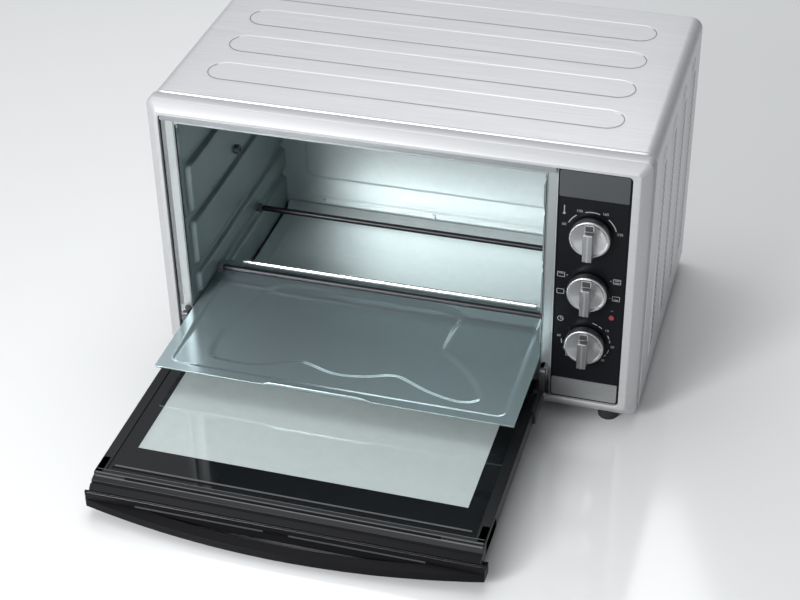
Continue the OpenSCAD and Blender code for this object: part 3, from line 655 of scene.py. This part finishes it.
def tray():
    wave = closed_spline(FRONT_WAVE + REAR_WAVE, 5)
    xs = steps(TX0, TX1, 2.2)
    ys = steps(TY0, TY1 - 1.0, 3.2, (-76, -101), 17, 1.1)

    def wave_sdf(x, y):
        best, inside = 1e9, False
        for i in range(len(wave)):
            ax, ay = wave[i]
            bx, by = wave[(i + 1) % len(wave)]
            dx, dy = bx - ax, by - ay
            t = max(0, min(1, ((x - ax) * dx + (y - ay) * dy) / (dx * dx + dy * dy + 1e-9)))
            best = min(best, (x - ax - t * dx) ** 2 + (y - ay - t * dy) ** 2)
            if (ay > y) != (by > y) and x < (bx - ax) * (y - ay) / (by - ay) + ax:
                inside = not inside
        return -math.sqrt(best) if inside else math.sqrt(best)

    def at(x, y):
        d = round_rect_sdf(x, y, 51, -106, 449, 96, 10)
        h = -1.2 * smooth01(0.5 - d / 5.0)
        if d < 0:
            h -= 2.0 * smooth01(0.5 - wave_sdf(x, y) / 7.0)
        return (x, y, TZ - 0.2 + h)

    relief("tray_sheet", xs, ys, at, tray_m, body="tray", node="crumb_tray")
    tray_edges()


def tray_edges():
    on_tray = dict(body="tray", slot="tray")

    def lip(x):
        return 3.8 * min(smooth01((x - 168) / 9), smooth01((304 - x) / 20))

    def front(x, k):
        h = lip(x)
        y, z = [(0.9, -0.2), (0.25, h * 0.5), (0.0, h - 0.2), (0.1, h), (0.0, h - 0.3), (0.0, -1.8),
                (3.6, -1.8)][k]
        return (x, TY0 + y, TZ + z)

    relief("tray_front", steps(TX0, TX1, 3.0), range(7), front, tray_m, **on_tray)
    # rolled rear lip, with a painted highlight, and folded side edges
    rear = [(-6, -0.3), (-4, 0.6), (-3, 2.2), (-2.4, 3.5), (-1.4, 3.9), (-0.4, 3.5), (-0.05, 2.4),
            (-0.05, -0.9)]
    relief("tray_rear_lip", steps(62, 438, 8), range(len(rear)),
           lambda x, k: (x, TY1 + rear[k][0], TZ + rear[k][1]), lip_highlight_m, **on_tray)
    side = [(1.2, -0.2), (0.3, -0.1), (0.0, -0.6), (0.0, -5.4)]
    for nm, x0, s in (("left", TX0, 1), ("right", TX1, -1)):
        relief("tray_side_" + nm, steps(-28, TY1, 8), range(len(side)),
               lambda y, k: (x0 + s * side[k][0], y, TZ + side[k][1]), tray_m, **on_tray)
    # underside sheet
    relief("tray_under", (TX0 + 15, TX1 - 15), (TY0 + 42, TY1 - 12), lambda x, y: (x, y, TZ - 5.4),
           tray_m, **on_tray)


tray()


# ---------------------------------------------------------------- door
GX0, GX1, GY0, GY1 = 40.0, 459.0, -274.0, -27.0                     # glass
WX0, WX1, WY0, WY1 = 249.5 - 190.5, 249.5 + 190.5, -229.0, -57.0    # window in its border
DOOR_BACK, DOOR_FACE, LEDGE = 12.0, 33.0, 28.4
PLATE_Y = -300.0                                                    # handle plate's front


def door_frame():
    x0, x1 = 28.0, 471.0
    rail_y0, rail_y1, foot_y1 = -274.1, -53, -24.2
    band = [(-297, DOOR_BACK), (WY0, DOOR_BACK), (WY0, LEDGE), (rail_y0, LEDGE), (rail_y0, DOOR_FACE),
            (-279.2, DOOR_FACE), (-280.3, 32.2), (-280.7, 29.9), (-281.9, 29.5), (-288.6, 27.3),
            (-289.1, 24.9), (-290.9, 24.4), (-291.4, 25.6), (-296.2, 21.9), (-297, 20.6)]
    solid("door_band", band, x0, x1, "x", door_m, 0.5, body="door", node="door_frame")

    def block(name, corners, z0, z1, bevel, mat=door_m):
        solid("door_" + name, rect(*corners), z0, z1, "z", mat, bevel, body="door", slot="door")

    for nm, a, b, c in (("left", x0, GX0, WX0), ("right", x1, GX1, WX1)):
        s = 1 if b > a else -1
        # outer rim beside the glass, the ledge under it and the foot by the hinge
        lo, hi = sorted((a, b))
        block("rail_" + nm, (lo, rail_y0, hi, rail_y1), DOOR_BACK, DOOR_FACE, 0.7)
        lo, hi = sorted((b, c))
        block("ledge_" + nm, (lo, WY0, hi, WY1), DOOR_BACK, LEDGE, 0.4)
        lo, hi = sorted((a + s * 3, b))
        block("foot_" + nm, (lo, rail_y1, hi, foot_y1), DOOR_BACK, DOOR_FACE, 0.5)
    block("sill", (GX0, WY1, GX1, -27.2), DOOR_BACK, LEDGE, 0.4)
    block("heel", (39.2, -27.0, 459.8, -1.1), DOOR_BACK, DOOR_FACE, 0.8)
    # end caps where the rails meet the band
    for nm, lo, hi in (("left", 28.2, 37.5), ("right", 461.5, 470.8)):
        block("cap_" + nm, (lo, -278.5, hi, -253), 31.5, DOOR_FACE, 0.6, handle_m)
    door_lines()


def door_lines():
    """Dark bars of painted shade that stand for the moulding's grooves, and lighter bars of painted
    highlight along its arrises.
    """
    on_door = dict(body="door", slot="door")
    dark = [("groove", [(-291.3, 25.4), (-291, 24.4), (-288.9, 25.0), (-288.8, 27.1)], 30, 469, shade_paint_m),
            ("slot", [(-281.6, 29.62), (-280.85, 32.7), (-280.2, 32.5), (-280.5, 29.62)], 65, 424, shade_paint_m),
            ("nose", [(-296.7, 20.9), (-291.7, 25.3), (-291.9, 25.75), (-297.02, 21.3)], 29, 470, handle_m)]
    for nm, pts, a, b, mat in dark:
        solid("door_" + nm, pts, a, b, "x", mat, **on_door)
    light = [(-280.4, 32.3, -279.0, 33.04), (-274.3, 33.0, -273.7, 33.05), (-282.9, 29.25, -281.4, 29.72)]
    for k, (y0, z0, y1, z1) in enumerate(light):
        bar = [(y0, z0), (y1, z1), (y1 + 0.25, z1 - 0.4), (y0 + 0.25, z0 - 0.4)]
        solid("door_arris_%d" % k, bar, 30, 469, "x", painted_highlight_m, **on_door)


door_frame()


def strips(name, rects, mat, slot):
    """Flat strips on the door: each runs from x0 to x1 between two (y, z) edges."""
    v, f = [], []
    for x0, x1, (ya, za), (yb, zb) in rects:
        k = len(v)
        v += [(x0, ya, za), (x1, ya, za), (x1, yb, zb), (x0, yb, zb)]
        f.append((k, k + 1, k + 2, k + 3))
    make(name, v, f, mat, body="door", smooth=False, slot=slot)


def door_trim():
    z = DOOR_FACE - 1.2 + 0.06
    v = [(x, y, z) for x, y in rect(GX0, GY0, GX1, GY1) + rect(WX0, WY0, WX1, WY1)]
    f = [(k, (k + 1) % 4, 4 + (k + 1) % 4, 4 + k) for k in range(4)]
    make("glass_border", v, f, border_m, body="door", smooth=False, slot="door")

    # flat strips on the glass's printed border: a painted highlight that stands for a polished line, and
    # its painted shadow line
    line_z = z + 0.03
    strips("door_line", [(46, 453, (-264.6, line_z), (-262.3, line_z))], painted_highlight_m, "door")
    strips("door_line_shadow", [(44, 455, (-268.6, line_z), (-265.4, line_z))], shade_paint_m, "door")
    # flat strips on the handle's plate: painted highlights that stand for its vent slits and the plate's
    # upper arris, and painted shade of the bow above and below the slits
    y = PLATE_Y - 0.08
    strips("door_slits", [(x0, x1, (y, 9.6), (y, 11.9)) for x0, x1 in ((83, 231), (260, 412))], painted_highlight_m,
           "handle")
    y = PLATE_Y - 0.06
    strips("handle_shadow", [(60, 440, (y, z0), (y, z1)) for z0, z1 in ((0.2, 8.6), (12.8, 17.6))], shade_paint_m,
           "handle")
    strips("handle_arris", [(26, 474, (PLATE_Y - 0.1, 18.6), (PLATE_Y + 1.0, 20.06))], painted_highlight_m, "handle")


door_trim()

# ---------------------------------------------------------------- knobs and dials
PANEL_X0, PANEL_X1 = 478.8, 558.8
KX = (PANEL_X0 + PANEL_X1) / 2 - 1.5
KZ = [246.0, 173.0, 100.0]
LAMP_X, LAMP_Z = PANEL_X1 - 13.5, 139.0


def knob(name, z, body, node):
    prof = [(0.01, -8.3), (18.6, -8.3), (19.4, -8.45), (20.0, -8.9), (21.2, -8.97), (22.2, -8.7),
            (22.8, -7.9), (23.0, -6.6), (23.0, 0.0), (22.6, 1.4), (22.2, 2.0), (0.01, 2.0)]
    v, f = lathe_y(prof, KX, z)
    make(name + "_disc", v, f, knob_m, body=body, node=node)

    def bar(half, below, above, y0, y1, part, mat, bevel):
        v2, f2 = prism(rect(KX - half, z - below, KX + half, z + above), y0, y1, "y")
        o = make(name + part, v2, f2, mat, body=body, slot="knob")
        face_outward(o)
        mod = o.modifiers.new("soft", "BEVEL")
        mod.width = bevel / MM
        mod.segments = 4
        mod.limit_method = "ANGLE"
        mod.harden_normals = True

    # the grip, its wider foot and the ridge along its middle
    bar(5.4, 22.0, 12.5, -19.9, -8.0, "_grip", knob_top, 1.0)
    bar(5.55, 22.3, 20.5, -11.6, -8.0, "_grip_foot", knob_m, 0.5)
    bar(1.1, 21.9, 12.0, -20.0, -19.0, "_grip_rib", knob_m, 0.35)
    # dark bar, painted shade that stands for the inset at the upper end, with a bright edge above it
    bar(4.3, -13.2, 19.6, -11.9, -11.0, "_inset", recess_shade_m, 0.2)
    bar(4.9, -11.6, 12.9, -19.7, -15.5, "_edge", screw_m, 0.3)


knob("temperature", KZ[0], "temperature_dial", "temperature_knob")
knob("function", KZ[1], "function_dial", "function_knob")
knob("timer", KZ[2], "timer_dial", "timer_knob")

marks_v, marks_f = [], []
MARK_Y = 3.86     # the print's depth, on the panel's face
SCALE_R = 27.5    # radius of the dials' scale arcs


def mark_quad(pts):
    k = len(marks_v)
    marks_v.extend((x, MARK_Y, z) for x, z in pts)
    marks_f.append(tuple(range(k, k + len(pts))))


def mark_arc(cz, r, a0, a1, w=0.9):
    n = max(2, int((a1 - a0) / 4))
    for i in range(n):
        p = []
        for a, q in ((i, r), (i + 1, r), (i + 1, r + w), (i, r + w)):
            t = math.radians(a0 + (a1 - a0) * a / n)
            p.append((KX + q * math.sin(t), cz + q * math.cos(t)))
        mark_quad(p)


def mark_line(x0, z0, x1, z1, w=0.7):
    d = Vector((x1 - x0, z1 - z0)).normalized()
    n = Vector((-d.y, d.x)) * w / 2
    mark_quad([(x0 + n.x, z0 + n.y), (x1 + n.x, z1 + n.y),
               (x1 - n.x, z1 - n.y), (x0 - n.x, z0 - n.y)])


def label(text, x, z, size=4.6):
    cu = bpy.data.curves.new("label", "FONT")
    cu.body, cu.size, cu.align_x, cu.align_y = text, size / MM, "CENTER", "CENTER"
    o = bpy.data.objects.new("label", cu)
    bpy.context.scene.collection.objects.link(o)
    bpy.context.view_layer.update()
    me = bpy.data.meshes.new_from_object(o)
    k = len(marks_v)
    marks_v.extend((x + v.co.x * MM, MARK_Y, z + v.co.y * MM) for v in me.vertices)
    marks_f.extend(tuple(k + i for i in p.vertices) for p in me.polygons)
    bpy.data.objects.remove(o)


def mark_dot(x, z, r):
    mark_quad([(x + r * math.sin(t * math.pi / 6), z + r * math.cos(t * math.pi / 6)) for t in range(12)])


def mark_ring(x, z, r, w=0.8):
    for i in range(16):
        p = []
        for a, q in ((i, r - w), (i + 1, r - w), (i + 1, r), (i, r)):
            t = 2 * math.pi * a / 16
            p.append((x + q * math.sin(t), z + q * math.cos(t)))
        mark_quad(p)


def temperature_marks(z):
    for a0, a1 in ((-66, -38), (-16, 17), (40, 74)):
        mark_arc(z, SCALE_R, a0, a1, 1.2)
    for t, a in (("60", -76), ("100", -28), ("160", 28), ("230", 84)):
        r = 30.5 if abs(a) < 60 else 31.5
        label(t, KX + r * math.sin(math.radians(a)), z + r * math.cos(math.radians(a)) + 1)
    x = KX - 31
    mark_line(x, z + 24, x, z + 33, 1.1)
    mark_dot(x, z + 23, 1.6)
    mark_dot(KX, z - 35.5, 1.3)


def function_marks(z):
    """Four box signs: a line high up for upper heat, and low down for lower heat."""
    for sx, dz in ((-1, 15), (-1, -8), (1, 15), (1, -8)):
        cx, cz = KX + sx * 31.5, z + dz
        for q in ((-4, -3, 4, -3), (-4, 3, 4, 3), (-4, -3, -4, 3), (4, -3, 4, 3)):
            mark_line(cx + q[0], cz + q[1], cx + q[2], cz + q[3], 0.7)
        if dz > 0:
            mark_line(cx - 2.6, cz + 1.4, cx + 2.6, cz + 1.4, 0.8)
        if sx > 0:
            mark_line(cx - 2.6, cz - 1.4, cx + 2.6, cz - 1.4, 0.8)
        mark_line(cx - sx * 6.2, cz - 0.01, cx - sx * 7.6, cz + 0.01, 1.0)
    mark_dot(KX, z - 35.8, 1.2)


def timer_marks(z):
    for a0, a1 in ((14, 26), (30, 40), (62, 72), (76, 84), (104, 116), (120, 128), (232, 244), (256, 268)):
        mark_arc(z, SCALE_R, a0, a1, 1.0)
    for t, a in (("10", 50), ("20", 94), ("30", 138), ("45", 222), ("60", 276)):
        label(t, KX + 31 * math.sin(math.radians(a)), z + 30.5 * math.cos(math.radians(a)), 4.4)
    x = KX - 30
    mark_ring(x, z + 27.5, 3.6)
    mark_line(x, z + 27.5, x, z + 30, 0.7)
    mark_line(x, z + 27.5, x + 2, z + 27.5, 0.7)


def dial_print():
    temperature_marks(KZ[0])
    function_marks(KZ[1])
    timer_marks(KZ[2])
    label("~", LAMP_X, LAMP_Z + 9, 5)
    make("dial_print", marks_v, marks_f, print_m, smooth=False, slot="fascia")


dial_print()


# ---------------------------------------------------------------- stage and light
def stage():
    me = bpy.data.meshes.new("ground")
    s = 14  # half the floor's width, in metres
    me.from_pydata([(-s, -s, 0), (s, -s, 0), (s, s, 0), (-s, s, 0)], [], [(0, 1, 2, 3)])
    g = bpy.data.objects.new("ground", me)
    bpy.context.scene.collection.objects.link(g)
    m = material("ground_white", (0.66, 0.665, 0.67), 0.10, 0.0, wander=0, IOR=1.6)
    me.materials.append(m)

    def area(name, loc, look, size, power):
        lamp = bpy.data.lights.new(name, "AREA")
        lamp.shape = "RECTANGLE"
        lamp.size, lamp.size_y = size, size
        lamp.energy = power
        o = bpy.data.objects.new(name, lamp)
        bpy.context.scene.collection.objects.link(o)
        d = Vector(look) - Vector(loc)
        o.rotation_euler = d.to_track_quat("-Z", "Y").to_euler()
        o.location = loc

    area("key_left", (-0.95, -2.35, 1.3), (0.02, 0, 0.15), 1.1, 43)
    area("cavity_fill", (-0.66, -1.40, 0.72), (0.10, 0.3, 0.15), 0.40, 14)
    area("top_box", (-0.3, 0.7, 2.2), (0, 0.1, 0.2), 2.0, 36)
    # room light, stronger from the left than from the right
    w = bpy.data.worlds.new("world")
    bpy.context.scene.world = w
    w.use_nodes = True
    bg = w.node_tree.nodes["Background"]
    bg.inputs["Color"].default_value = (0.94, 0.97, 1.0, 1)
    nt = w.node_tree
    sep = nt.nodes.new("ShaderNodeSeparateXYZ")
    nt.links.new(nt.nodes.new("ShaderNodeTexCoord").outputs["Generated"], sep.inputs["Vector"])
    mr = nt.nodes.new("ShaderNodeMapRange")
    for k, v in (("From Min", -0.1), ("From Max", 0.7), ("To Min", 0.53), ("To Max", 0.22)):
        mr.inputs[k].default_value = v
    nt.links.new(sep.outputs["X"], mr.inputs["Value"])
    nt.links.new(mr.outputs["Result"], bg.inputs["Strength"])


stage()
bpy.context.scene.view_settings.view_transform = "Standard"
bpy.context.scene.view_settings.look = "None"
